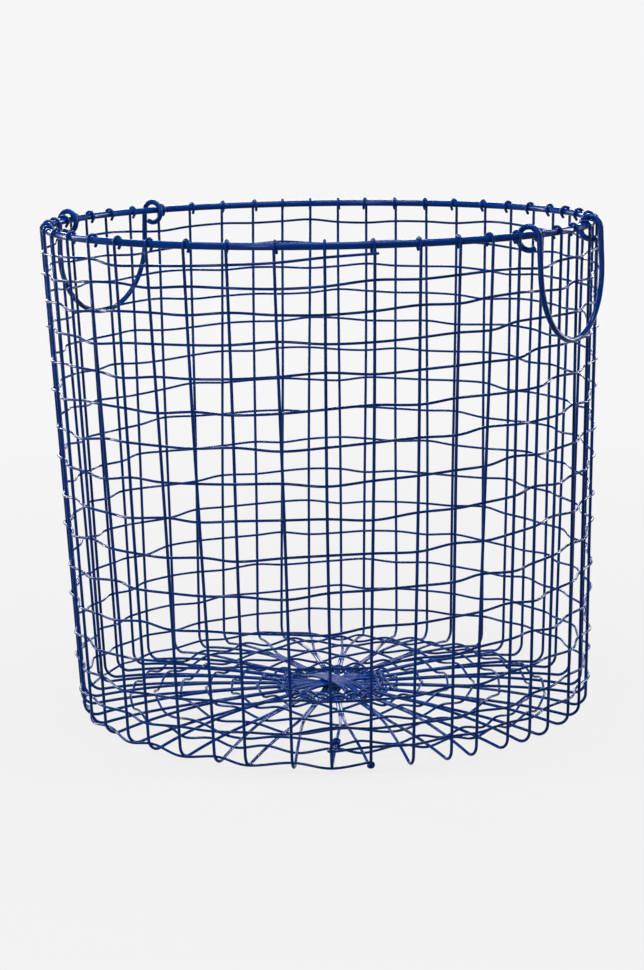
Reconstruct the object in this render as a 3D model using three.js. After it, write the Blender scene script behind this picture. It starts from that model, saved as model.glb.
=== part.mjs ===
// A round storage basket woven from painted steel wire, with two bail handles hanging from its rim.
// Millimetres and degrees, +Z up. It stands on z = 0, with the middle of its rim over the origin.
import * as THREE from 'three';

// Wire diameters, and the gap left where one wire bears on another
const RIM_WIRE = 5;
const STAKE_WIRE = 2.2;
const WEAVER_WIRE = 1.9;
const HANDLE_WIRE = 4;
const SEAT_GAP = 0.35;

// Basket, measured to the middle of its wires
const RIM_RADIUS = 200;
const RIM_HEIGHT = 361;
const BASE_RADIUS = 191.5;
const BASE_RISE = 8.8; // middle of the base above the feet
const BASE_DOME = 4; // power of the dome, flat in the middle and steep at its edge
const FOOT_BEND = 9; // radius of the corner between base and wall
const BASE_SHIFT = 6; // the handmade wall leans, so the base sits off the middle of the rim
const BASE_SHIFT_ANGLE = 32;

// Stakes: wires that cross the base in flat bundles, stacked in layers, and rise up both walls
const BUNDLE_LAYERS = [3, 1, 2, 0]; // counted from the lowest
const BUNDLE_WIRES = 6;
const FIRST_STAKE = -43.5; // from +X
const FOOT_TWIST = 0.7; // from below its hook to a foot
const FOOT_WANDER = 0.8;
const WANDER_STEP = 132;
const BUNDLE_HALF = 17; // half the straight length of a bundle
const SPOKE_START = 30; // radius from which two stakes run side by side
const SPOKE_SPLIT = 0.553; // where they part, as a share of the way to the feet
const SPOKE_BENDS = [0.84]; // where they follow the dome down
const HOOK_TAIL = 7; // end of a hook below the middle of the rim

// Handmade spacing of hooks and feet, as waves: how many go round, how large they are, where they begin
const RIM_WAVES = [
  { count: 1, size: 4.14, from: 17.5 },
  { count: 2, size: 1.21, from: 78 },
  { count: 3, size: 1.5, from: 103.4 },
  { count: 5, size: 1.07, from: 51.6 },
];
const FOOT_WAVES = [
  { count: 1, size: 2.6, from: -75 },
  { count: 3, size: 1.6, from: -138 },
];

// Wall weaver: rows are distances along the stakes, which are counted round from the first
const WALL_FIRST_INDEX = 45;
const WALL_LAST_INDEX = 46;
const WALL_TURNS = 15; // besides the way from the first stake to the last
const WALL_RISE_TURNS = 14.8; // turns in which it climbs to its top row
const WALL_START = 19.5; // above the bottom of the feet
const WALL_TOP = 11.5; // top row below the middle of the rim
const WALL_CROWDING = { foot: 0.062, rim: 0.103 }; // how much closer the rows lie at both ends
const WALL_CROWD_POWER = { foot: 13, rim: 5 }; // how soon they spread out
const WALL_TILT = { foot: 5.8, rim: 3.2 }; // rows stand higher on one side of the basket
const WALL_TILT_ANGLE = { foot: 31, rim: 53 };
const WALL_LAST_RISE = 7; // its end climbs to just under the rim
const WALL_LAST_STAKES = 6;
const WALL_WOBBLE = 2;

// Base weavers: rows are distances from the middle of the base
const BASE_LAST_INDEX = 45; // stake where the inner weaver ends and the outer one begins
const BASE_START = 33;
const BASE_TIGHT_ROWS = 3; // close round the hub
const BASE_TIGHT_PITCH = 3.5;
const BASE_INNER_ROWS = 8; // rows that cross two stakes at a time
const BASE_INNER_SHARE = 0.78; // last of them, as a share of the way to the feet
const BASE_WOBBLE = 1;
const BASE_JOIN = 5; // between the ends of the two weavers
const BASE_OUTER_TURNS = 2; // the outer weaver crosses stakes one by one, and ends one stake further on
const HEEL_STEP = 70; // stakes before it drops from the base to the corner of the feet
const HEEL_SHARE = 0.9015; // where it drops, as a share of the way to the feet
const HEEL_ROW = 7.6; // its last row, past the bottom of the feet
const WAVER_RATES = [1.9, 0.83]; // radians from stake to stake
const PAIR_LEAD = 1.5; // past a pair before the weaver dips
const CURL_TURN = 250; // the ends of a weaver curl round a stake

// Handles: each hangs from the rim by two eyes, at these places counted in stakes
const HANDLE_EYES = { handle_right: [3.4, 7.25], handle_left: [27.2, 31.35] };
const HANDLE_DROP = 76; // from the rim to the bottom of the bail
const HANDLE_LEG = 26; // straight part of a leg below the rim
const EYE_RADIUS = 8;
const EYE_TURN = 312;
const EYE_LEAN = 55; // from the top of an eye to where it bears on the rim

// Facets of the wires
const STAKE_SIDES = 6;
const WEAVER_SIDES = 4;
const RIM_SIDES = 6;
const HANDLE_SIDES = 6;
const HOOK_STEP = 45;
const CURL_STEPS = 8;
const EYE_STEPS = 12;
const BAIL_STEPS = 14;

const BLUE = 0x14317c;
const { degToRad, lerp } = THREE.MathUtils;
const UP = new THREE.Vector3(0, 0, 1);

// Sizes worked out from those above
const WIRE_PITCH = STAKE_WIRE + SEAT_GAP;
const WEAVE_OFFSET = (STAKE_WIRE + WEAVER_WIRE) / 2 + SEAT_GAP;
const HOOK_RADIUS = (RIM_WIRE + STAKE_WIRE) / 2 + SEAT_GAP;
const HOOK_CORNER = HOOK_RADIUS / Math.cos(degToRad(HOOK_STEP / 2));
const FOOT_RADIUS = BASE_RADIUS - FOOT_BEND;
const FOOT_HEIGHT = (STAKE_WIRE / 2) * Math.cos(Math.PI / STAKE_SIDES);
const TOE_ANGLE = Math.atan((BASE_DOME * BASE_RISE) / FOOT_RADIUS);
const TOE_RADIUS = FOOT_RADIUS - FOOT_BEND * Math.sin(TOE_ANGLE);
const BEND_HEIGHT = FOOT_HEIGHT + FOOT_BEND * Math.cos(TOE_ANGLE);
const BASE_END = BASE_INNER_SHARE * TOE_RADIUS;
const BASE_LOOSE = BASE_START + BASE_TIGHT_ROWS * BASE_TIGHT_PITCH;
const BASE_PITCH = (BASE_END - BASE_LOOSE) / (BASE_INNER_ROWS - BASE_TIGHT_ROWS);
const HUB_HEIGHT = FOOT_HEIGHT + BASE_RISE;
const STAKE_TOP = RIM_RADIUS + HOOK_RADIUS;
const WALL_SLOPE = (STAKE_TOP - BASE_RADIUS) / (RIM_HEIGHT - FOOT_BEND);
const WALL_ANGLE = Math.PI / 2 - Math.atan(WALL_SLOPE);
const BEND_LENGTH = FOOT_BEND * WALL_ANGLE;
const HOOK_RISE = HOOK_CORNER * Math.sin(degToRad(HOOK_STEP / 2));
const WALL_LENGTH = Math.hypot(RIM_HEIGHT - FOOT_BEND, STAKE_TOP - BASE_RADIUS);
const TOP_ROW = BEND_LENGTH + WALL_LENGTH - WALL_TOP;
const STAKES = 2 * BUNDLE_WIRES * BUNDLE_LAYERS.length - 1;
const EYE_SLACK = EYE_RADIUS - (RIM_WIRE + HANDLE_WIRE) / 2 - SEAT_GAP;
const EYE_REACH = EYE_SLACK * Math.sin(degToRad(EYE_LEAN));
const EYE_HANG = EYE_SLACK * Math.cos(degToRad(EYE_LEAN));
const HANDLE_STANDOFF = EYE_REACH + EYE_RADIUS; // from the middle of the rim to a leg

// Directions in plan at an angle: away from the middle, and round it
const outward = (angle) => new THREE.Vector3(Math.cos(angle), Math.sin(angle), 0);
const around = (angle) => outward(angle + Math.PI / 2);

// The wall leans, so a point moves over by what is left of its height to the rim
const SHIFT = outward(degToRad(BASE_SHIFT_ANGLE)).multiplyScalar(BASE_SHIFT);
const leaning = (point) => point.addScaledVector(SHIFT, 1 - point.z / RIM_HEIGHT);

// A wire along a path of points, each with a direction that one corner of its section faces
function wireGeometry(path, diameter, sides, closed = false) {
  const count = path.length;
  const positions = [];
  path.forEach(({ point, side }, i) => {
    const before = path[closed ? (i + count - 1) % count : Math.max(i - 1, 0)].point;
    const after = path[closed ? (i + 1) % count : Math.min(i + 1, count - 1)].point;
    const arriving = point.clone().sub(before).normalize();
    const leaving = after.clone().sub(point).normalize();
    const tangent = arriving.clone().add(leaving).normalize();
    const across = side.clone().addScaledVector(tangent, -side.dot(tangent)).normalize();
    const lift = tangent.clone().cross(across);
    const bend = leaving.clone().sub(arriving).normalize();
    const mitre = arriving.lengthSq() * leaving.lengthSq() > 0 ? 1 / tangent.dot(leaving) - 1 : 0;
    for (let j = 0; j < sides; j += 1) {
      const turn = (2 * Math.PI * j) / sides;
      const corner = across.clone().multiplyScalar(Math.cos(turn)).addScaledVector(lift, Math.sin(turn));
      corner.addScaledVector(bend, corner.dot(bend) * mitre);
      positions.push(...point.clone().addScaledVector(corner, diameter / 2).toArray());
    }
  });
  const faces = [];
  for (let i = 0; i < (closed ? count : count - 1); i += 1) {
    const next = (i + 1) % count;
    for (let j = 0; j < sides; j += 1) {
      const k = (j + 1) % sides;
      const [a, b, c, d] = [i * sides + j, i * sides + k, next * sides + k, next * sides + j];
      faces.push(a, b, d, b, c, d);
    }
  }
  if (!closed) {
    const end = (count - 1) * sides;
    for (let j = 1; j < sides - 1; j += 1) faces.push(0, j + 1, j, end, end + j, end + j + 1);
  }
  const geometry = new THREE.BufferGeometry();
  geometry.setAttribute('position', new THREE.Float32BufferAttribute(positions, 3));
  geometry.setIndex(faces);
  geometry.computeVertexNormals();
  return geometry;
}

const basket = new THREE.Group();

// Adds one painted wire as a named piece
function addWire(name, geometry, parent = basket) {
  const paint = new THREE.MeshStandardMaterial({ color: BLUE, roughness: 0.3, metalness: 0.1 });
  const mesh = new THREE.Mesh(geometry, paint);
  mesh.name = name;
  parent.add(mesh);
  return mesh;
}

// Angle of a stake at the rim, and at its foot
const evenAngle = (stake) => (360 * stake) / STAKES;
function drift(waves, stake) {
  const angle = ({ count, from }) => degToRad(count * evenAngle(stake) + from);
  return waves.reduce((sum, wave) => sum + wave.size * Math.sin(angle(wave)), 0);
}
function rimAngle(stake) {
  return degToRad(FIRST_STAKE + evenAngle(stake) + drift(RIM_WAVES, stake));
}
function footAngle(stake) {
  const wander = FOOT_WANDER * Math.sin(degToRad(WANDER_STEP * stake));
  return rimAngle(stake) + degToRad(FOOT_TWIST + drift(FOOT_WAVES, stake) + wander);
}

// Both ends of each bundle, as runs of stakes; the first bundle has one wire that stops in the hub
function bundleEnds() {
  const near = BUNDLE_LAYERS.map((layer, i) => ({ first: i * BUNDLE_WIRES, count: BUNDLE_WIRES }));
  const across = BUNDLE_LAYERS.length * BUNDLE_WIRES;
  const far = near.map(({ first, count }, i) => {
    return i === 0 ? { first: across, count: count - 1 } : { first: across + first - 1, count };
  });
  return { near, far };
}
const ENDS = bundleEnds();

// Spokes: stakes that run side by side from the hub, two by two, or three where a wire is missing
function listSpokes() {
  const spokes = [];
  for (const { first, count } of [...ENDS.near, ...ENDS.far]) {
    const stakes = Array.from({ length: count }, (unused, i) => first + i);
    while (stakes.length) spokes.push(stakes.splice(0, stakes.length % 2 ? 3 : 2));
  }
  return spokes;
}
const SPOKES = listSpokes();

// Height of the domed base at a radius
const domeHeight = (radius) => lerp(HUB_HEIGHT, FOOT_HEIGHT, (radius / TOE_RADIUS) ** BASE_DOME);

// The course of a stake from its spoke to its hook: places along it, with the side that faces inwards
function stakeCourse(stake) {
  const spoke = SPOKES.find((stakes) => stakes.includes(stake));
  const middle = spoke.reduce((sum, one) => sum + footAngle(one), 0) / spoke.length;
  const beside = (spoke.indexOf(stake) - (spoke.length - 1) / 2) * WIRE_PITCH;
  const foot = outward(footAngle(stake));
  const split = SPOKE_SPLIT * TOE_RADIUS;
  const bends = SPOKE_BENDS.map((share) => share * TOE_RADIUS);
  const parted = (radius) => Math.max(0, (radius - split) / (TOE_RADIUS - split));
  const course = [SPOKE_START, split, ...bends, TOE_RADIUS].map((radius) => {
    const paired = outward(middle).multiplyScalar(Math.min(radius, split));
    paired.addScaledVector(around(middle), beside);
    const point = paired.lerp(foot.clone().multiplyScalar(TOE_RADIUS), parted(radius));
    point.z = domeHeight(radius);
    return { at: radius, point, inside: UP.clone() };
  });
  const bend = [TOE_ANGLE, WALL_ANGLE / 3, (2 * WALL_ANGLE) / 3, WALL_ANGLE];
  for (const angle of bend) {
    const point = foot.clone().multiplyScalar(FOOT_RADIUS + FOOT_BEND * Math.sin(angle));
    point.z = BEND_HEIGHT - FOOT_BEND * Math.cos(angle);
    const inside = UP.clone().multiplyScalar(Math.cos(angle)).addScaledVector(foot, -Math.sin(angle));
    course.push({ at: FOOT_RADIUS + FOOT_BEND * angle, point, inside });
  }
  const top = outward(rimAngle(stake)).multiplyScalar(STAKE_TOP).setZ(RIM_HEIGHT + HOOK_RISE);
  const at = FOOT_RADIUS + BEND_LENGTH + WALL_LENGTH + HOOK_RISE;
  course.push({ at, point: top, inside: course[course.length - 1].inside });
  return course.map((place) => ({ ...place, point: leaning(place.point) }));
}
const COURSES = Array.from({ length: STAKES }, (unused, stake) => stakeCourse(stake));

// A place along the course of a stake: its point, its inner side and the way that the stake runs
function placeOn(stake, at) {
  const course = COURSES[stake];
  const next = Math.max(1, course.findIndex((place) => place.at >= at));
  const [a, b] = [course[next - 1], course[next]];
  const share = (at - a.at) / (b.at - a.at);
  const run = b.point.clone().sub(a.point).normalize();
  const point = a.point.clone().lerp(b.point, share);
  const inside = a.inside.clone().lerp(b.inside, share);
  inside.addScaledVector(run, -inside.dot(run)).normalize();
  return { point, inside, run };
}

// One half of a stake wire, from the edge of the hub over its foot and up to the tail of its hook
function stakeHalf(stake, hubPoint) {
  const angle = rimAngle(stake);
  const points = [hubPoint, ...COURSES[stake].map((place) => place.point)];
  for (let turn = 1.5 * HOOK_STEP; turn < 180; turn += HOOK_STEP) {
    const reach = RIM_RADIUS + HOOK_CORNER * Math.cos(degToRad(turn));
    const height = RIM_HEIGHT + HOOK_CORNER * Math.sin(degToRad(turn));
    points.push(outward(angle).multiplyScalar(reach).setZ(height));
  }
  points.push(outward(angle).multiplyScalar(RIM_RADIUS - HOOK_RADIUS).setZ(RIM_HEIGHT - HOOK_TAIL));
  return points.map((point) => ({ point, side: around(angle) }));
}

// The stake wires of one bundle, side by side across the hub
function addBundle(index) {
  const [near, far] = [ENDS.near[index], ENDS.far[index]];
  const height = HUB_HEIGHT + (BUNDLE_LAYERS[index] - (BUNDLE_LAYERS.length - 1) / 2) * WIRE_PITCH;
  const hubPoint = (end, place) => {
    const angle = footAngle(end.first + (end.count - 1) / 2);
    const point = outward(angle).multiplyScalar(BUNDLE_HALF).setZ(height);
    return leaning(point.addScaledVector(around(angle), place * WIRE_PITCH));
  };
  for (let wire = 0; wire < BUNDLE_WIRES; wire += 1) {
    const place = wire - (BUNDLE_WIRES - 1) / 2;
    const nearHalf = stakeHalf(near.first + wire, hubPoint(near, place));
    const path = nearHalf.map(({ point, side }) => ({ point, side: side.negate() })).reverse();
    const hubEnd = hubPoint(far, -place);
    if (wire < far.count) path.push(...stakeHalf(far.first + far.count - 1 - wire, hubEnd));
    else path.push({ point: hubEnd, side: path[path.length - 1].side });
    const name = `stake_wire_${String(near.first + wire + 1).padStart(2, '0')}`;
    addWire(name, wireGeometry(path, STAKE_WIRE, STAKE_SIDES));
  }
}
BUNDLE_LAYERS.forEach((layer, index) => addBundle(index));

// The rim: a ring of thick wire inside the hooks, with a corner at each stake and between stakes
const rimPath = Array.from({ length: 2 * STAKES }, (unused, i) => {
  const angle = (rimAngle(Math.floor(i / 2)) + rimAngle(Math.ceil(i / 2))) / 2;
  return { point: outward(angle).multiplyScalar(RIM_RADIUS).setZ(RIM_HEIGHT), side: UP };
});
addWire('rim_ring', wireGeometry(rimPath, RIM_WIRE, RIM_SIDES, true));

// A weaver's place as it crosses a stake, on its inner side (1) or its outer side (-1)
function crossing(stake, at, face, lead = 0) {
  const { point, inside, run } = placeOn(stake, at);
  point.addScaledVector(inside, face * WEAVE_OFFSET);
  point.addScaledVector(around(footAngle(stake)), lead);
  return { point, side: run };
}

// The end of a weaver, curled round a stake that it reaches on one face while going forwards or back
function curl(stake, at, face, way) {
  const { point, inside, run } = placeOn(stake, at);
  const ahead = run.clone().cross(inside).multiplyScalar(Math.sign(way));
  if (ahead.dot(around(footAngle(stake))) * way < 0) ahead.negate();
  return Array.from({ length: CURL_STEPS }, (unused, step) => {
    const turn = degToRad((CURL_TURN * (step + 1)) / CURL_STEPS);
    const bent = point.clone().addScaledVector(inside, face * WEAVE_OFFSET * Math.cos(turn));
    return { point: bent.addScaledVector(ahead, WEAVE_OFFSET * Math.sin(turn)), side: run };
  });
}

// Rows drawn by hand waver from stake to stake
const waver = (step) => {
  return WAVER_RATES.reduce((sum, rate) => sum + Math.sin(rate * step), 0) / WAVER_RATES.length;
};

// A row of the wall weaver after some turns: close to its neighbours at the bottom and at the top
function wallRow(turns, angle) {
  const rise = Math.min(1, turns / WALL_RISE_TURNS);
  const left = 1 - rise;
  const low = WALL_CROWDING.foot * (left - left ** WALL_CROWD_POWER.foot);
  const high = WALL_CROWDING.rim * (rise - rise ** WALL_CROWD_POWER.rim);
  const tilt = (end) => WALL_TILT[end] * Math.cos(angle - degToRad(WALL_TILT_ANGLE[end]));
  return lerp(WALL_START, TOP_ROW, rise + high - low) + lerp(tilt('foot'), tilt('rim'), rise);
}

// The wall weaver: one wire that winds up the wall, in front of one stake and behind the next
function wallWeaver() {
  const steps = WALL_TURNS * STAKES + WALL_LAST_INDEX - WALL_FIRST_INDEX;
  const path = [];
  let [stake, at, face] = [0, 0, 0];
  for (let step = 0; step <= steps; step += 1) {
    stake = (WALL_FIRST_INDEX + step) % STAKES;
    face = step % 2 ? 1 : -1;
    const row = wallRow(step / STAKES, rimAngle(stake));
    const last = Math.max(0, 1 - (steps - step) / WALL_LAST_STAKES);
    const wobble = WALL_WOBBLE * waver(step) * Math.min(1, step / STAKES) * (1 - last);
    at = FOOT_RADIUS + Math.min(row, TOP_ROW) + WALL_LAST_RISE * last ** 2 + wobble;
    if (step === 0) path.push(...curl(stake, at, face, -1).reverse());
    path.push(crossing(stake, at, face));
  }
  path.push(...curl(stake, at, face, 1));
  return path;
}

// The inner base weaver: one wire that winds out from the hub, over one pair of stakes and under the next
function innerBaseWeaver() {
  const last = BASE_LAST_INDEX % STAKES;
  const firstSpoke = SPOKES.findIndex((stakes) => stakes.includes(last));
  const steps = BASE_INNER_ROWS * SPOKES.length;
  const path = [];
  for (let step = 0; step < steps; step += 1) {
    const stakes = SPOKES[(firstSpoke + step) % SPOKES.length];
    const turns = step / SPOKES.length;
    const tight = BASE_START + BASE_TIGHT_PITCH * Math.min(turns, BASE_TIGHT_ROWS);
    const loose = Math.max(turns - BASE_TIGHT_ROWS, 0);
    const at = tight + BASE_PITCH * loose + BASE_WOBBLE * waver(step) * Math.min(loose, 1);
    const face = step % 2 ? 1 : -1;
    path.push(crossing(stakes[0], at, face, -PAIR_LEAD));
    path.push(crossing(stakes[stakes.length - 1], at, face, PAIR_LEAD));
  }
  path.push(crossing(last, BASE_END, -1), ...curl(last, BASE_END, -1, 1));
  return path;
}

// The outer base weaver: one wire that goes on outwards over single stakes and ends under the feet
function outerBaseWeaver() {
  const start = BASE_END + BASE_JOIN;
  const path = [];
  let [stake, at, face] = [0, 0, 0];
  for (let step = 0; step <= BASE_OUTER_TURNS * STAKES + 1; step += 1) {
    stake = (BASE_LAST_INDEX + step) % STAKES;
    face = step % 2 ? 1 : -1;
    if (step <= HEEL_STEP) at = lerp(start, HEEL_SHARE * TOE_RADIUS, step / HEEL_STEP);
    else at = step === HEEL_STEP + 1 ? TOE_RADIUS : FOOT_RADIUS + HEEL_ROW;
    if (step === 0) path.push(...curl(stake, at, face, -1).reverse());
    path.push(crossing(stake, at, face));
  }
  path.push(...curl(stake, at, face, 1));
  return path;
}

// The least gap between the turns of a winding, measured between points well apart along it
function leastGap(path, apart) {
  let least = Infinity;
  path.forEach(({ point }, i) => {
    for (let j = i + apart; j < path.length; j += 1) {
      least = Math.min(least, point.distanceTo(path[j].point));
    }
  });
  return least - WEAVER_WIRE;
}

const weavers = {
  wall_weaver: wallWeaver(),
  base_weaver_inner: innerBaseWeaver(),
  base_weaver_outer: outerBaseWeaver(),
};
for (const [name, path] of Object.entries(weavers)) {
  addWire(name, wireGeometry(path, WEAVER_WIRE, WEAVER_SIDES));
  console.log(`${name}: least gap to itself ${leastGap(path, CURL_STEPS).toFixed(2)} mm`);
}

// Half of the angle between the eyes of a handle, and the angle of its middle
function handleSeat(eyes) {
  const [start, end] = eyes.map((place) => rimAngle(place));
  return { middle: (start + end) / 2, spread: (end - start) / 2 };
}

// A bail from eye to eye: x outwards, y along the line between the eyes, z up from the rim
function bailPath(half) {
  const step = degToRad(EYE_TURN / EYE_STEPS);
  const bend = EYE_RADIUS / Math.cos(step / 2);
  const eye = Array.from({ length: EYE_STEPS }, (unused, i) => {
    const turn = step * (i + 0.5);
    return new THREE.Vector3(EYE_REACH + bend * Math.cos(turn), 0, bend * Math.sin(turn) - EYE_HANG);
  });
  const bail = Array.from({ length: BAIL_STEPS + 1 }, (unused, i) => {
    const turn = (Math.PI * i) / BAIL_STEPS;
    const drop = HANDLE_LEG + (HANDLE_DROP - HANDLE_LEG) * Math.sin(turn);
    const point = new THREE.Vector3(HANDLE_STANDOFF, -half * Math.cos(turn), -drop);
    const side = new THREE.Vector3(0, Math.cos(turn), Math.sin(turn));
    return { point, side };
  });
  const eyeAt = (end) => eye.map((point) => {
    return { point: point.clone().setY(end * half), side: new THREE.Vector3(0, -end, 0) };
  });
  return [...eyeAt(-1).reverse(), ...bail, ...eyeAt(1)];
}

// How far a bail leans out to rest on the wall between its eyes
function handleTilt(middle, spread) {
  const height = RIM_HEIGHT - HANDLE_DROP;
  const wall = BASE_RADIUS + WALL_SLOPE * (height - FOOT_BEND);
  const lean = SHIFT.dot(outward(middle)) * (1 - height / RIM_HEIGHT);
  const rest = wall + lean + WEAVE_OFFSET + WEAVER_WIRE / 2 + SEAT_GAP + HANDLE_WIRE / 2;
  return Math.asin((rest - RIM_RADIUS * Math.cos(spread) - HANDLE_STANDOFF) / HANDLE_DROP);
}

for (const [name, eyes] of Object.entries(HANDLE_EYES)) {
  const { middle, spread } = handleSeat(eyes);
  const hinge = new THREE.Group();
  hinge.position.copy(outward(middle)).multiplyScalar(RIM_RADIUS * Math.cos(spread)).setZ(RIM_HEIGHT);
  hinge.rotation.z = middle;
  const path = bailPath(RIM_RADIUS * Math.sin(spread));
  const mesh = addWire(name, wireGeometry(path, HANDLE_WIRE, HANDLE_SIDES), hinge);
  mesh.rotation.y = -handleTilt(middle, spread);
  basket.add(hinge);
}

export default basket;
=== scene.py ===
# A round basket woven from blue painted wire, with two bail handles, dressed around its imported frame.
# Wires are worked out in millimetres, +Z up, with the middle of the rim over the origin.
import math
from collections import namedtuple
from itertools import pairwise

import bpy
from mathutils import Matrix, Vector


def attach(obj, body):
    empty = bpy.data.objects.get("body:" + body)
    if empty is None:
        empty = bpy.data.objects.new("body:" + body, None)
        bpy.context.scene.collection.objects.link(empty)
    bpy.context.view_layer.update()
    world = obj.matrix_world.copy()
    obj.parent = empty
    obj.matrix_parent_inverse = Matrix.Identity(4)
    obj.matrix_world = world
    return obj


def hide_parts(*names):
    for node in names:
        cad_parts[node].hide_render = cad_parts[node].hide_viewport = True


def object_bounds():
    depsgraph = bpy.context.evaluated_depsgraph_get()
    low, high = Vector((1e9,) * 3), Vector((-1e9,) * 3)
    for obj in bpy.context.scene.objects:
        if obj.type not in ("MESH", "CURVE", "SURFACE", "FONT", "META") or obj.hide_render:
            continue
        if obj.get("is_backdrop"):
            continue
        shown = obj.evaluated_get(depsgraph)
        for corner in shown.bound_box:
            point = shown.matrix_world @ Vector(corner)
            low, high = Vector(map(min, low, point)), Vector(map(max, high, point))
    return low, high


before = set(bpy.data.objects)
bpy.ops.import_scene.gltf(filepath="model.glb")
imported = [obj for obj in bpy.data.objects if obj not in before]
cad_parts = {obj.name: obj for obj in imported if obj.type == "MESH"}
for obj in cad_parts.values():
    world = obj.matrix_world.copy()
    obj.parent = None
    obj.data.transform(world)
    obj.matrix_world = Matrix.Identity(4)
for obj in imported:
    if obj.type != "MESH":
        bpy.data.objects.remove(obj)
cad_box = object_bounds()

MM = 0.001
UP = Vector((0, 0, 1))

# Wire diameters, and how near the wires come to each other
RIM_WIRE = 5
STAKE_WIRE = 2.2
WEAVER_WIRE = 1.9
HANDLE_WIRE = 4
TOUCH_GAP = 0.05
HUB_GAP = 0.25
EYE_GAP = 0.35
BAIL_GAP = 0.88

# Basket, measured to the middle of its wires
RIM_RADIUS = 200
RIM_HEIGHT = 361
BASE_RADIUS = 191.5
BASE_RISE = 8.8  # middle of the base above the feet
BASE_DOME = 4  # power of the dome, flat in the middle and steep at its edge
FOOT_BEND = 9  # radius of the corner between base and wall
BASE_SHIFT = 6  # the handmade wall leans, so the base sits off the middle of the rim
BASE_SHIFT_ANGLE = math.radians(32)

# Stakes: wires that cross the base in flat bundles, stacked in layers, and rise up both walls
BUNDLE_LAYERS = (3, 1, 2, 0)  # counted from the lowest
BUNDLE_WIRES = 6
FIRST_STAKE = math.radians(-43.5)  # where the count of stakes begins
FOOT_TWIST = math.radians(0.7)  # from below its hook to a foot
FOOT_WANDER = math.radians(0.8)  # feet stand a little off, each its own way
WANDER_STEP = math.radians(132)  # from stake to stake
BUNDLE_HALF = 17  # half the straight length of a bundle
SPOKE_START = 30  # radius from which two stakes run side by side
SPOKE_SPLIT = 0.553  # where they part, as a share of the way to the feet
PART_BEND = 14  # half the length of the bend where they part
HUB_BEND = 7  # reach of the bends at the edge of the hub
STAKE_BOW = 0.7  # the hammered stakes aren't quite straight
BOW_RATE = 2.3  # radians from stake to stake
HOOK_END = math.radians(218)  # a hook curls this far round the rim
HOOK_TAIL = 2.6  # straight end of a hook
HOOK_SLANT = 1.2  # its end stands up to about this far to one side

# Handmade spacing of hooks and feet, as waves: how many go round, their size and start in degrees
Wave = namedtuple("Wave", "count size start")
RIM_WAVES = (Wave(1, 4.14, 17.5), Wave(2, 1.21, 78), Wave(3, 1.5, 103.4), Wave(5, 1.07, 51.6))
FOOT_WAVES = (Wave(1, 2.6, -75), Wave(3, 1.6, -138))

# Wall weaver: rows are distances along the stakes, which are counted round from the first
WALL_FIRST_INDEX = 45
WALL_LAST_INDEX = 46
WALL_TURNS = 15  # besides the way from the first stake to the last
WALL_RISE_TURNS = 14.8  # turns in which it climbs to its top row
WALL_START = 19.5  # above the bottom of the feet
WALL_TOP = 11.5  # top row below the middle of the rim
WALL_CROWDING = {"foot": 0.062, "rim": 0.103}  # how much closer the rows lie at both ends
WALL_CROWD_POWER = {"foot": 13, "rim": 5}  # how soon they spread out
WALL_TILT = {"foot": 5.8, "rim": 3.2}  # rows stand higher on one side of the basket
WALL_TILT_ANGLE = {"foot": math.radians(31), "rim": math.radians(53)}
WALL_LAST_RISE = 7  # its end climbs to just under the rim
WALL_LAST_STAKES = 6
WALL_WOBBLE = 2  # most that a row strays at a stake

# Base weavers: rows are distances from the middle of the base
BASE_LAST_INDEX = 45  # stake where the inner weaver ends and the outer one begins
BASE_START = 33
BASE_TIGHT_ROWS = 3  # close round the hub
BASE_TIGHT_PITCH = 3.5
BASE_INNER_ROWS = 8  # rows that cross two stakes at a time
BASE_INNER_SHARE = 0.78  # last of them, as a share of the way to the feet
BASE_WOBBLE = 1
BASE_JOIN = 5  # between the ends of the two weavers
BASE_OUTER_TURNS = 2  # the outer weaver ends one stake further on
HEEL_STEP = 70  # stakes before it drops from the base to the corner of the feet
HEEL_SHARE = 0.9015  # where it drops, as a share of the way to the feet
HEEL_ROW = 7.6  # its last row, past the bottom of the feet
WAVER_RATES = (1.9, 0.83)  # radians from stake to stake
PAIR_LEAD = 1.5  # past a pair before the weaver dips
CURL_TURN = math.radians(250)  # the ends of a weaver curl round a stake

# Handles: each hangs from the rim by two eyes, at these places counted in stakes
HANDLE_EYES = {"handle_right": (3.4, 7.25), "handle_left": (27.2, 31.35)}
HANDLE_DROP = 76  # from the rim to the bottom of the bail
HANDLE_LEG = 26  # straight part of a leg below the rim
EYE_RADIUS = 8
EYE_TURN = math.radians(298)
EYE_LEAN = math.radians(55)  # from the top of an eye to where it bears on the rim

# How finely the wires are drawn
ROUND_STEP = math.radians(12)
BEND_STEPS = 6
GENTLE_TURN = math.radians(5)
DOME_STEPS = 26
WALL_STEPS = 14
RIM_STEPS = 300
BAIL_STEPS = 48
WEAVER_STEP = 3.4
END_STEPS = 3
END_BULGE = 0.6  # length of a round tip, in radii of the wire
END_FLAT = 0.5  # part of a step that is left flat at the tip
THICK_SIDES = 20
STAKE_SIDES = 14
WEAVER_SIDES = 10

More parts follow.
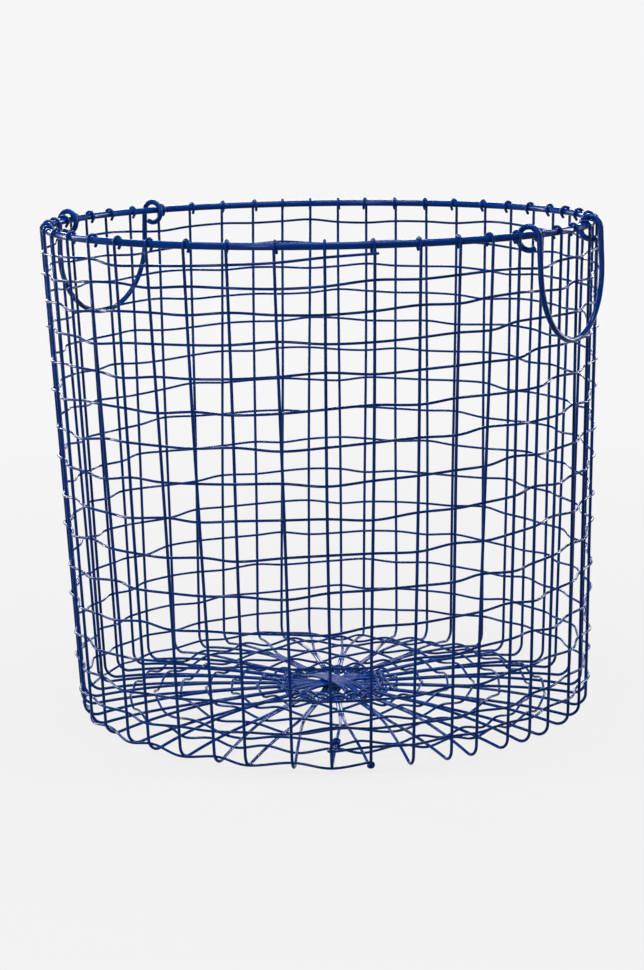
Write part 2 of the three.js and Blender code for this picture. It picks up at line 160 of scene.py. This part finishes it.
# Sizes worked out from those above
WIRE_PITCH = STAKE_WIRE + TOUCH_GAP
HUB_PITCH = STAKE_WIRE + HUB_GAP
WEAVE_OFFSET = (STAKE_WIRE + WEAVER_WIRE) / 2 + TOUCH_GAP
HOOK_RADIUS = (RIM_WIRE + STAKE_WIRE) / 2 + TOUCH_GAP
FOOT_RADIUS = BASE_RADIUS - FOOT_BEND
TOE_ANGLE = math.atan(BASE_DOME * BASE_RISE / FOOT_RADIUS)
TOE_RADIUS = FOOT_RADIUS - FOOT_BEND * math.sin(TOE_ANGLE)
BEND_HEIGHT = STAKE_WIRE / 2 + FOOT_BEND
TOE_HEIGHT = BEND_HEIGHT - FOOT_BEND * math.cos(TOE_ANGLE)
HUB_HEIGHT = TOE_HEIGHT + BASE_RISE
BASE_END = BASE_INNER_SHARE * TOE_RADIUS
BASE_LOOSE = BASE_START + BASE_TIGHT_ROWS * BASE_TIGHT_PITCH
BASE_PITCH = (BASE_END - BASE_LOOSE) / (BASE_INNER_ROWS - BASE_TIGHT_ROWS)
STAKE_TOP = RIM_RADIUS + HOOK_RADIUS
WALL_SLOPE = (STAKE_TOP - BASE_RADIUS) / (RIM_HEIGHT - FOOT_BEND)
WALL_ANGLE = math.pi / 2 - math.atan(WALL_SLOPE)
BEND_LENGTH = FOOT_BEND * WALL_ANGLE
WALL_LENGTH = math.hypot(RIM_HEIGHT - FOOT_BEND, STAKE_TOP - BASE_RADIUS)
TOP_ROW = BEND_LENGTH + WALL_LENGTH - WALL_TOP
STAKES = 2 * BUNDLE_WIRES * len(BUNDLE_LAYERS) - 1
EYE_SLACK = EYE_RADIUS - (RIM_WIRE + HANDLE_WIRE) / 2 - EYE_GAP
EYE_REACH = EYE_SLACK * math.sin(EYE_LEAN)
EYE_HANG = EYE_SLACK * math.cos(EYE_LEAN)
HANDLE_STANDOFF = EYE_REACH + EYE_RADIUS  # from the middle of the rim to a leg

# Camera of the photograph, fitted to the rim, the feet and the sides; its place is in metres
CAMERA_PLACE = Vector((0.9309, -1.4784, 0.4968))
CAMERA_HEADING = math.radians(32.235)
CAMERA_PITCH = math.radians(10.777)
CAMERA_ROLL = math.radians(-0.865)
FOCAL_PIXELS = 2367.2
LONG_SIDE_PIXELS = 970
SENSOR = 36  # millimetres along that side

# Enamel: its noises are counted to the metre
DEEP_BLUE = (0.0003, 0.009, 0.07, 1)
BRIGHT_BLUE = (0.001, 0.028, 0.165, 1)
CLOUD_SCALE = 38
CLOUD_DETAIL = 3
SPECK_SCALE = 520
PEEL_SCALE = 1300
FINE_DETAIL = 2
LEAST_ROUGHNESS = 0.1
SPECK_ROUGHNESS = 0.12
SPECULAR_LEVEL = 0.05
PEEL_STRENGTH = 0.05
PEEL_DEPTH = 0.0002

# Paper stage, in metres
PAPER = (0.922, 0.922, 0.922, 1)
SHADED_PAPER = (0.24, 0.24, 0.24, 1)
GLOW_NEAR = 0.86  # share of the paper's own glow beside the basket
GLOW_REACH = 1.5  # distance over which that share grows to 1
STAGE_RADIUS = 4.5
STAGE_FLAT = 3.2  # radius of its flat floor
STAGE_RINGS = 12
STAGE_SIDES = 96

# Softboxes, in metres and watts, placed from the middle of the floor as the camera sees it
Softbox = namedtuple("Softbox", "name right away up width height power")
SOFTBOXES = (
    Softbox("left_strip", right=-1.6, away=1.0, up=0.6, width=0.1, height=1.6, power=45),
    Softbox("right_strip", right=1.6, away=1.0, up=0.6, width=0.1, height=1.6, power=45),
    Softbox("back_strip", right=0.0, away=2.4, up=0.72, width=3.6, height=0.2, power=42),
    Softbox("front_strip", right=-0.7, away=-1.6, up=0.7, width=0.25, height=1.2, power=20),
    Softbox("top_strip", right=0.0, away=-0.2, up=1.8, width=1.6, height=0.1, power=56),
)
ROOM_GLOW = 0.02  # strength of the light from all round

Place = namedtuple("Place", "at point inside")


def outward(angle):
    """The way from the middle to the wall at an angle in plan."""
    return Vector((math.cos(angle), math.sin(angle), 0))


def around(angle):
    """The way round the basket at an angle in plan."""
    return outward(angle + math.pi / 2)


def raised(vector, height):
    """The same place in plan at a height."""
    return Vector((vector.x, vector.y, height))


SHIFT = outward(BASE_SHIFT_ANGLE) * BASE_SHIFT


def leaning(point):
    """The wall leans, so a point moves over by what is left of its height to the rim."""
    return point + SHIFT * (1 - point.z / RIM_HEIGHT)


def drift(waves, stake):
    """How far waves in the spacing move a stake round the basket."""
    turns = [math.tau * wave.count * stake / STAKES + math.radians(wave.start) for wave in waves]
    return math.radians(sum(wave.size * math.sin(turn) for wave, turn in zip(waves, turns)))


def rim_angle(stake):
    """Angle of a stake at the rim."""
    return FIRST_STAKE + math.tau * stake / STAKES + drift(RIM_WAVES, stake)


def foot_angle(stake):
    """Angle of a stake at its foot."""
    wander = FOOT_WANDER * math.sin(WANDER_STEP * stake)
    return rim_angle(stake) + FOOT_TWIST + drift(FOOT_WAVES, stake) + wander


def waver(step):
    """Rows drawn by hand waver from stake to stake."""
    return sum(math.sin(rate * step) for rate in WAVER_RATES) / len(WAVER_RATES)


def bundle_ends():
    """Both ends of each bundle as runs of stakes; one wire of the first stops in the hub."""
    near = [range(i * BUNDLE_WIRES, (i + 1) * BUNDLE_WIRES) for i in range(len(BUNDLE_LAYERS))]
    across = len(BUNDLE_LAYERS) * BUNDLE_WIRES
    far = [range(across + run.start - 1, across + run.stop - 1) for run in near]
    far[0] = range(across, far[0].stop)
    return near, far


NEAR_ENDS, FAR_ENDS = bundle_ends()


def list_spokes():
    """Stakes that run side by side from the hub, two by two, or three where a wire is missing."""
    spokes = []
    for run in NEAR_ENDS + FAR_ENDS:
        stakes = list(run)
        while stakes:
            together = 3 if len(stakes) % 2 else 2
            spokes.append(stakes[:together])
            stakes = stakes[together:]
    return spokes


SPOKES = list_spokes()


def eased(distance):
    """Distance past a bend, let in smoothly over the length of the bend."""
    if distance > PART_BEND:
        return distance
    return max(0, distance + PART_BEND) ** 2 / (4 * PART_BEND)


def spoke_places(stake):
    """Places of a stake along the domed base, from the hub to its toe."""
    spoke = next(stakes for stakes in SPOKES if stake in stakes)
    middle = sum(foot_angle(one) for one in spoke) / len(spoke)
    beside = around(middle) * (spoke.index(stake) - (len(spoke) - 1) / 2) * WIRE_PITCH
    split = SPOKE_SPLIT * TOE_RADIUS
    parting = outward(middle) * split + beside
    to_foot = outward(foot_angle(stake)) * TOE_RADIUS - parting
    for step in range(DOME_STEPS):
        radius = SPOKE_START + (TOE_RADIUS - SPOKE_START) * step / DOME_STEPS
        past = eased(radius - split)
        straight = outward(middle) * (radius - split - past)
        point = parting + straight + to_foot * past / (TOE_RADIUS - split)
        height = HUB_HEIGHT - BASE_RISE * (radius / TOE_RADIUS) ** BASE_DOME
        yield Place(radius, raised(point, height), UP)


def foot_places(stake):
    """Places of a stake round the corner from the base to the wall."""
    foot = outward(foot_angle(stake))
    steps = math.ceil((WALL_ANGLE + TOE_ANGLE) / ROUND_STEP)
    for step in range(steps + 1):
        angle = -TOE_ANGLE + (WALL_ANGLE + TOE_ANGLE) * step / steps
        point = foot * (FOOT_RADIUS + FOOT_BEND * math.sin(angle))
        height = BEND_HEIGHT - FOOT_BEND * math.cos(angle)
        inside = UP * math.cos(angle) - foot * math.sin(angle)
        yield Place(FOOT_RADIUS + FOOT_BEND * angle, raised(point, height), inside)


def wall_places(stake, bottom):
    """Places of a stake up the wall, from the top of its corner to the side of the rim."""
    top = raised(outward(rim_angle(stake)) * STAKE_TOP, RIM_HEIGHT)
    side = around(rim_angle(stake))
    for step in range(1, WALL_STEPS + 1):
        share = step / WALL_STEPS
        bow = STAKE_BOW * math.sin(math.pi * share) * math.sin(BOW_RATE * stake + math.pi * share)
        point = bottom.point.lerp(top, share) + side * bow
        yield Place(bottom.at + WALL_LENGTH * share, point, bottom.inside)


def stake_course(stake):
    """The course of a stake from its spoke to the rim, with the side that faces inwards."""
    places = [*spoke_places(stake), *foot_places(stake)]
    places += wall_places(stake, places[-1])
    return [place._replace(point=leaning(place.point)) for place in places]


COURSES = [stake_course(stake) for stake in range(STAKES)]


def place_on(stake, at):
    """A point along a stake, its inner side there and the way that the stake runs."""
    before, after = next(pair for pair in pairwise(COURSES[stake]) if pair[1].at >= at)
    share = (at - before.at) / (after.at - before.at)
    run = (after.point - before.point).normalized()
    inside = before.inside.lerp(after.inside, share)
    inside = (inside - run * inside.dot(run)).normalized()
    return before.point.lerp(after.point, share), inside, run


def hook_points(stake):
    """The hook of a stake, over the rim from its outer side and curled in under it."""
    angle = rim_angle(stake)
    slant = HOOK_SLANT * math.sin(BOW_RATE * stake)
    steps = math.ceil(HOOK_END / ROUND_STEP)
    points = []
    for step in range(1, steps + 1):
        turn = HOOK_END * step / steps
        point = outward(angle) * (RIM_RADIUS + HOOK_RADIUS * math.cos(turn))
        point += around(angle) * slant * step / steps
        points.append(raised(point, RIM_HEIGHT + HOOK_RADIUS * math.sin(turn)))
    tail = (points[-1] - points[-2]).normalized() * HOOK_TAIL
    return [*points, points[-1] + tail]


def stake_half(stake):
    """One half of a stake wire, from its spoke over its foot to the tail of its hook."""
    return [place.point for place in COURSES[stake]] + hook_points(stake)


def bundle_paths(index):
    """The stake wires of one bundle, side by side across the hub."""
    near, far = NEAR_ENDS[index], FAR_ENDS[index]
    height = HUB_HEIGHT + (BUNDLE_LAYERS[index] - (len(BUNDLE_LAYERS) - 1) / 2) * WIRE_PITCH

    def hub_point(run, place):
        angle = foot_angle((run.start + run.stop - 1) / 2)
        return leaning(raised(outward(angle) * BUNDLE_HALF + around(angle) * place * HUB_PITCH, height))

    for wire, stake in enumerate(near):
        place = wire - (BUNDLE_WIRES - 1) / 2
        hub = [hub_point(near, place), hub_point(far, -place)]
        far_half = stake_half(far[-1 - wire]) if wire < len(far) else []
        yield stake, rounded([*reversed(stake_half(stake)), *hub, *far_half], HUB_BEND)


def rounded(points, reach):
    """A path with its sharp corners bent round, each over a reach to both sides."""
    path = [points[0]]
    for before, corner, after in zip(points, points[1:], points[2:]):
        arriving, leaving = before - corner, after - corner
        if math.pi - arriving.angle(leaving) < GENTLE_TURN:
            path.append(corner)
            continue
        start = corner + arriving.normalized() * min(reach, arriving.length / 2)
        end = corner + leaving.normalized() * min(reach, leaving.length / 2)
        for step in range(BEND_STEPS + 1):
            share = step / BEND_STEPS
            path.append(start.lerp(corner, share).lerp(corner.lerp(end, share), share))
    return [*path, points[-1]]


def flowing(points, step):
    """A smooth line through points, as wire springs from one stake to the next."""
    spans = [(after - before).length ** 0.5 for before, after in pairwise(points)]
    slopes = [(after - before) / span for before, after, span in zip(points, points[1:], spans)]
    inner = [
        (slopes[i] * spans[i + 1] + slopes[i + 1] * spans[i]) / (spans[i] + spans[i + 1])
        for i in range(len(spans) - 1)
    ]
    tangents = [slopes[0], *inner, slopes[-1]]
    path = [points[0]]
    for i, span in enumerate(spans):
        count = max(1, round((points[i + 1] - points[i]).length / step))
        leaving, arriving = tangents[i] * span, tangents[i + 1] * span
        for share in ((j + 1) / count for j in range(count)):
            path.append(hermite(points[i], points[i + 1], leaving, arriving, share))
    return path


def hermite(start, end, leaving, arriving, share):
    """A point on the curve between two points with the given tangents."""
    rest = 1 - share
    ends = start * (1 + 2 * share) * rest**2 + end * (3 - 2 * share) * share**2
    return ends + leaving * share * rest**2 - arriving * share**2 * rest


def crossing(stake, at, face, lead=0):
    """A weaver's place as it crosses a stake, on its inner side (1) or its outer side (-1)."""
    point, inside, _ = place_on(stake, at)
    return point + inside * face * WEAVE_OFFSET + around(foot_angle(stake)) * lead


def curl(stake, at, face, way):
    """The end of a weaver, curled round a stake that it reaches while going forwards or back."""
    point, inside, run = place_on(stake, at)
    ahead = run.cross(inside)
    if ahead.dot(around(foot_angle(stake))) * way < 0:
        ahead.negate()
    steps = math.ceil(CURL_TURN / ROUND_STEP)
    turns = [CURL_TURN * (step + 1) / steps for step in range(steps)]
    return [
        point + (inside * face * math.cos(turn) + ahead * math.sin(turn)) * WEAVE_OFFSET
        for turn in turns
    ]


def wall_row(turns, angle):
    """The row of the wall weaver after some turns; rows lie closer at the bottom and at the top."""
    rise = min(1, turns / WALL_RISE_TURNS)
    left = 1 - rise
    low = WALL_CROWDING["foot"] * (left - left ** WALL_CROWD_POWER["foot"])
    high = WALL_CROWDING["rim"] * (rise - rise ** WALL_CROWD_POWER["rim"])
    tilt = {end: WALL_TILT[end] * math.cos(angle - WALL_TILT_ANGLE[end]) for end in WALL_TILT}
    level = WALL_START + (TOP_ROW - WALL_START) * (rise + high - low)
    return level + tilt["foot"] * left + tilt["rim"] * rise


def wall_weaver_path():
    """One wire that winds up the wall, in front of one stake and behind the next."""
    steps = WALL_TURNS * STAKES + WALL_LAST_INDEX - WALL_FIRST_INDEX
    points = []
    for step in range(steps + 1):
        stake = (WALL_FIRST_INDEX + step) % STAKES
        face = 1 if step % 2 else -1
        row = wall_row(step / STAKES, rim_angle(stake))
        last = max(0, 1 - (steps - step) / WALL_LAST_STAKES)
        wobble = WALL_WOBBLE * waver(step) * min(1, step / STAKES) * (1 - last)
        at = FOOT_RADIUS + min(row, TOP_ROW) + WALL_LAST_RISE * last**2 + wobble
        if step == 0:
            points += reversed(curl(stake, at, face, -1))
        points.append(crossing(stake, at, face))
    return flowing([*points, *curl(stake, at, face, 1)], WEAVER_STEP)


def inner_base_path():
    """One wire that winds out from the hub, over one pair of stakes and under the next."""
    last = BASE_LAST_INDEX % STAKES
    first_spoke = next(i for i, stakes in enumerate(SPOKES) if last in stakes)
    points = []
    for step in range(BASE_INNER_ROWS * len(SPOKES)):
        stakes = SPOKES[(first_spoke + step) % len(SPOKES)]
        turns = step / len(SPOKES)
        tight = BASE_START + BASE_TIGHT_PITCH * min(turns, BASE_TIGHT_ROWS)
        loose = max(turns - BASE_TIGHT_ROWS, 0)
        at = tight + BASE_PITCH * loose + BASE_WOBBLE * waver(step) * min(loose, 1)
        face = 1 if step % 2 else -1
        points.append(crossing(stakes[0], at, face, -PAIR_LEAD))
        points.append(crossing(stakes[-1], at, face, PAIR_LEAD))
    points.append(crossing(last, BASE_END, -1))
    return flowing([*points, *curl(last, BASE_END, -1, 1)], WEAVER_STEP)


def outer_base_path():
    """One wire that goes on outwards over single stakes and ends under the feet."""
    start = BASE_END + BASE_JOIN
    points = []
    for step in range(BASE_OUTER_TURNS * STAKES + 2):
        stake = (BASE_LAST_INDEX + step) % STAKES
        face = 1 if step % 2 else -1
        at = start + (HEEL_SHARE * TOE_RADIUS - start) * step / HEEL_STEP
        if step == HEEL_STEP + 1:
            at = TOE_RADIUS
        elif step > HEEL_STEP:
            at = FOOT_RADIUS + HEEL_ROW
        if step == 0:
            points += reversed(curl(stake, at, face, -1))
        points.append(crossing(stake, at, face))
    return flowing([*points, *curl(stake, at, face, 1)], WEAVER_STEP)


def rim_path():
    """The ring of thick wire inside the hooks."""
    angles = [math.tau * step / RIM_STEPS for step in range(RIM_STEPS)]
    return [raised(outward(angle) * RIM_RADIUS, RIM_HEIGHT) for angle in angles]


def bail_points(half):
    """A bail from eye to eye: x outwards, y along the line between the eyes, z up from the rim."""
    steps = math.ceil(EYE_TURN / ROUND_STEP)
    eye = []
    for turn in (EYE_TURN * step / steps for step in range(steps + 1)):
        x, z = EYE_RADIUS * math.cos(turn), EYE_RADIUS * math.sin(turn)
        eye.append(Vector((EYE_REACH + x, half, z - EYE_HANG)))
    bail = []
    for turn in (math.pi * step / BAIL_STEPS for step in range(BAIL_STEPS + 1)):
        drop = HANDLE_LEG + (HANDLE_DROP - HANDLE_LEG) * math.sin(turn)
        bail.append(Vector((HANDLE_STANDOFF, -half * math.cos(turn), -drop)))
    other_eye = [Vector((point.x, -half, point.z)) for point in reversed(eye)]
    return [*other_eye, *bail, *eye]


def handle_path(eyes):
    """A handle hung from the rim by its eyes, leaning out to rest on the wall."""
    start, end = (rim_angle(place) for place in eyes)
    middle, spread = (start + end) / 2, (end - start) / 2
    height = RIM_HEIGHT - HANDLE_DROP
    wall = BASE_RADIUS + WALL_SLOPE * (height - FOOT_BEND)
    lean = SHIFT.dot(outward(middle)) * (1 - height / RIM_HEIGHT)
    rest = wall + lean + WEAVE_OFFSET + WEAVER_WIRE / 2 + BAIL_GAP + HANDLE_WIRE / 2
    reach = RIM_RADIUS * math.cos(spread)
    tilt = math.asin((rest - reach - HANDLE_STANDOFF) / HANDLE_DROP)
    seat = Matrix.Translation(raised(outward(middle) * reach, RIM_HEIGHT))
    turned = seat @ Matrix.Rotation(middle, 4, "Z") @ Matrix.Rotation(-tilt, 4, "Y")
    return [turned @ point for point in bail_points(RIM_RADIUS * math.sin(spread))]


class Value:
    """A socket of a node tree, so that its maths can be written as Python expressions."""

    def __init__(self, tree, socket=None):
        self.tree = tree
        self.socket = socket

    def node(self, kind, settings, inputs, output=0):
        """Adds a node, sets it up, then gives its sockets their values or links."""
        made = self.tree.nodes.new(kind)
        for name, setting in settings.items():
            setattr(made, name, setting)
        for name, value in inputs.items():
            if isinstance(value, Value):
                self.tree.links.new(value.socket, made.inputs[name])
            else:
                made.inputs[name].default_value = value
        return Value(self.tree, made.outputs[output] if made.outputs else None)

    def maths(self, operation, first, second):
        """Adds a Math node for two values or numbers."""
        return self.node("ShaderNodeMath", {"operation": operation}, {0: first, 1: second})

    def __add__(self, other):
        return self.maths("ADD", self, other)

    def __mul__(self, other):
        return self.maths("MULTIPLY", self, other)

    __radd__ = __add__
    __rmul__ = __mul__


def new_material(name):
    """An empty material, with a value to build its nodes from."""
    material = bpy.data.materials.new(name)
    material.use_nodes = True
    material.node_tree.nodes.clear()
    return material, Value(material.node_tree)


def blue_enamel():
    """Dipped blue enamel: cloudy where it dried thick, glossy, with a fine orange peel."""
    material, paint = new_material("blue_enamel")
    place = paint.node("ShaderNodeTexCoord", {}, {}, "Object")

    def noise(scale, detail):
        return paint.node("ShaderNodeTexNoise", {}, {"Vector": place, "Scale": scale, "Detail": detail})

    clouds = noise(CLOUD_SCALE, CLOUD_DETAIL)
    specks = noise(SPECK_SCALE, FINE_DETAIL)
    peel = noise(PEEL_SCALE, FINE_DETAIL)
    colour = paint.node(
        "ShaderNodeMix", {"data_type": "RGBA"}, {0: clouds, 6: DEEP_BLUE, 7: BRIGHT_BLUE}, 2
    )
    bump = paint.node(
        "ShaderNodeBump", {}, {"Strength": PEEL_STRENGTH, "Distance": PEEL_DEPTH, "Height": peel}
    )
    surface = paint.node(
        "ShaderNodeBsdfPrincipled",
        {},
        {
            "Base Color": colour,
            "Roughness": LEAST_ROUGHNESS + SPECK_ROUGHNESS * specks,
            "Specular IOR Level": SPECULAR_LEVEL,
            "Normal": bump,
        },
    )
    paint.node("ShaderNodeOutputMaterial", {}, {"Surface": surface})
    return material


def seen_directly(light):
    """1 for what is seen straight, in a reflection or through glass, and 0 for other light."""
    straight, reflected, through = (
        light.node("ShaderNodeLightPath", {}, {}, f"Is {kind} Ray")
        for kind in ("Camera", "Glossy", "Transmission")
    )
    return light.maths("MAXIMUM", light.maths("MAXIMUM", straight, reflected), through)


def studio_paper():
    """Pale paper that looks evenly lit, and still takes a little of the basket's shadow."""
    material, paper = new_material("studio_paper")
    place = paper.node("ShaderNodeTexCoord", {}, {}, "Object")
    distance = paper.node("ShaderNodeVectorMath", {"operation": "LENGTH"}, {0: place}, "Value")
    share = GLOW_NEAR + (1 - GLOW_NEAR) * paper.maths("MINIMUM", 1 / GLOW_REACH * distance, 1)
    matt = paper.node("ShaderNodeBsdfDiffuse", {}, {"Color": SHADED_PAPER})
    glow = paper.node("ShaderNodeEmission", {}, {"Color": PAPER, "Strength": 1})
    mixed = paper.node("ShaderNodeMixShader", {}, {0: share * seen_directly(paper), 1: matt, 2: glow})
    paper.node("ShaderNodeOutputMaterial", {}, {"Surface": mixed})
    return material


def wire_tree():
    """Geometry nodes that draw a round wire along a path, thinned where its ends are rounded."""
    tree = bpy.data.node_groups.new("drawn_wire", "GeometryNodeTree")
    sockets = {
        "Path": "NodeSocketGeometry",
        "Wire Diameter": "NodeSocketFloat",
        "Sides": "NodeSocketInt",
        "Paint": "NodeSocketMaterial",
    }
    for name, kind in sockets.items():
        tree.interface.new_socket(name, in_out="INPUT", socket_type=kind)
    tree.interface.new_socket("Wire", in_out="OUTPUT", socket_type="NodeSocketGeometry")
    start = Value(tree)
    given = {name: start.node("NodeGroupInput", {}, {}, name) for name in sockets}
    path = start.node("GeometryNodeMeshToCurve", {}, {"Mesh": given["Path"]})
    section = start.node(
        "GeometryNodeCurvePrimitiveCircle",
        {},
        {"Resolution": given["Sides"], "Radius": 0.5 * given["Wire Diameter"]},
    )
    girth = start.node("GeometryNodeInputNamedAttribute", {}, {"Name": "girth"})
    wire = start.node(
        "GeometryNodeCurveToMesh",
        {},
        {"Curve": path, "Profile Curve": section, "Scale": girth, "Fill Caps": True},
    )
    smooth = start.node("GeometryNodeSetShadeSmooth", {}, {"Geometry": wire})
    whole = start.node("GeometryNodeRealizeInstances", {}, {"Geometry": smooth})
    painted = start.node("GeometryNodeSetMaterial", {}, {"Geometry": whole, "Material": given["Paint"]})
    start.node("NodeGroupOutput", {}, {"Wire": painted})
    return tree


def round_ends(points, diameter):
    """A path with both ends drawn out to a blunt round tip, and the girth at each of its points."""
    tips = []
    for end, inner in ((points[0], points[1]), (points[-1], points[-2])):
        way = (end - inner).normalized() * END_BULGE * diameter / 2
        turns = [math.pi / 2 * (step + 1) / (END_STEPS + END_FLAT) for step in range(END_STEPS)]
        tips.append([(end + way * math.sin(turn), math.cos(turn)) for turn in turns])
    body = [(point, 1) for point in points]
    return zip(*reversed(tips[0]), *body, *tips[1])


WIRE_TREE = wire_tree()
ENAMEL = blue_enamel()


def add_wire(node, body, points, diameter, sides, closed=False):
    """One painted wire that stands for a node of the frame and rides on its body."""
    name = f"painted_{node}"
    points, girths = (points, [1] * len(points)) if closed else round_ends(points, diameter)
    count = len(points)
    edges = [(i, (i + 1) % count) for i in range(count if closed else count - 1)]
    path = bpy.data.meshes.new(f"{name}_path")
    path.from_pydata([point * MM for point in points], edges, [])
    path.attributes.new("girth", "FLOAT", "POINT").data.foreach_set("value", girths)
    wire = bpy.data.objects.new(name, path)
    bpy.context.scene.collection.objects.link(wire)
    drawing = wire.modifiers.new("drawing", "NODES")
    drawing.node_group = WIRE_TREE
    sizes = {"Wire Diameter": diameter * MM, "Sides": sides, "Paint": ENAMEL}
    for socket, value in sizes.items():
        drawing[WIRE_TREE.interface.items_tree[socket].identifier] = value
    drawn = wire.evaluated_get(bpy.context.evaluated_depsgraph_get())
    mesh = bpy.data.meshes.new_from_object(drawn)
    wire.modifiers.remove(drawing)
    wire.data = mesh
    bpy.data.meshes.remove(path)
    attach(wire, body)
    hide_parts(node)


def add_wires():
    """Every wire of the basket and its handles."""
    add_wire("rim_ring", "basket", rim_path(), RIM_WIRE, THICK_SIDES, closed=True)
    for index in range(len(BUNDLE_LAYERS)):
        for stake, path in bundle_paths(index):
            add_wire(f"stake_wire_{stake + 1:02d}", "basket", path, STAKE_WIRE, STAKE_SIDES)
    weavers = {
        "wall_weaver": wall_weaver_path(),
        "base_weaver_inner": inner_base_path(),
        "base_weaver_outer": outer_base_path(),
    }
    for node, path in weavers.items():
        add_wire(node, "basket", path, WEAVER_WIRE, WEAVER_SIDES)
    for node, eyes in HANDLE_EYES.items():
        add_wire(node, node, handle_path(eyes), HANDLE_WIRE, THICK_SIDES)


def add_stage():
    """A round paper floor that curves up far behind the basket on every side."""
    rise = STAGE_RADIUS - STAGE_FLAT
    profile = [(0.0, 0.0)]
    for step in range(STAGE_RINGS + 1):
        turn = math.pi / 2 * step / STAGE_RINGS
        profile.append((STAGE_FLAT + rise * math.sin(turn), rise * (1 - math.cos(turn))))
    ways = [outward(math.tau * side / STAGE_SIDES) for side in range(STAGE_SIDES)]
    points = []
    faces = []
    for ring, (radius, height) in enumerate(profile):
        points += [raised(way * radius, height) for way in ways]
        for side in range(STAGE_SIDES if ring else 0):
            after = (side + 1) % STAGE_SIDES
            low, high = (ring - 1) * STAGE_SIDES, ring * STAGE_SIDES
            faces.append((low + side, high + side, high + after, low + after))
    mesh = bpy.data.meshes.new("paper_floor")
    mesh.from_pydata(points, [], faces)
    mesh.shade_smooth()
    mesh.materials.append(studio_paper())
    floor = bpy.data.objects.new("paper_floor", mesh)
    bpy.context.scene.collection.objects.link(floor)
    floor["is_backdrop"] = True


def add_camera():
    """The camera where the photograph was taken from."""
    data = bpy.data.cameras.new("photo_camera")
    data.sensor_width = SENSOR
    data.lens = FOCAL_PIXELS * SENSOR / LONG_SIDE_PIXELS
    camera = bpy.data.objects.new("photo_camera", data)
    heading = Matrix.Rotation(CAMERA_HEADING, 4, "Z")
    tilt = Matrix.Rotation(math.pi / 2 - CAMERA_PITCH, 4, "X")
    roll = Matrix.Rotation(CAMERA_ROLL, 4, "Z")
    camera.matrix_world = Matrix.Translation(CAMERA_PLACE) @ heading @ tilt @ roll
    bpy.context.scene.collection.objects.link(camera)
    bpy.context.scene.camera = camera


def add_softbox(box):
    """A soft lamp, placed as seen from the camera, that faces the middle of the basket."""
    data = bpy.data.lights.new(box.name, "AREA")
    data.shape = "RECTANGLE"
    data.size, data.size_y = box.width, box.height
    data.energy = box.power
    lamp = bpy.data.objects.new(box.name, data)
    lamp.location = Matrix.Rotation(CAMERA_HEADING, 3, "Z") @ Vector((box.right, box.away, box.up))
    aim = raised(Vector(), RIM_HEIGHT * MM / 2) - lamp.location
    lamp.rotation_euler = aim.to_track_quat("-Z", "Y").to_euler()
    bpy.context.scene.collection.objects.link(lamp)


def add_lights():
    """Softboxes at both sides, behind, in front and overhead, and a faint even glow."""
    for box in SOFTBOXES:
        add_softbox(box)
    world = bpy.data.worlds.new("studio_glow")
    world.use_nodes = True
    world.node_tree.nodes.clear()
    glow = Value(world.node_tree)
    room = glow.node("ShaderNodeBackground", {}, {"Color": PAPER, "Strength": ROOM_GLOW})
    glow.node("ShaderNodeOutputWorld", {}, {"Surface": room})
    bpy.context.scene.world = world


def write_sizes():
    """The box of the frame and the box of the dressed basket, as lists of their corners."""
    boxes = {"frame": cad_box, "dressed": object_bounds()}
    lists = {name: [list(corner) for corner in box] for name, box in boxes.items()}


bpy.context.scene.view_settings.view_transform = "Standard"
add_camera()
add_wires()
add_stage()
add_lights()
write_sizes()
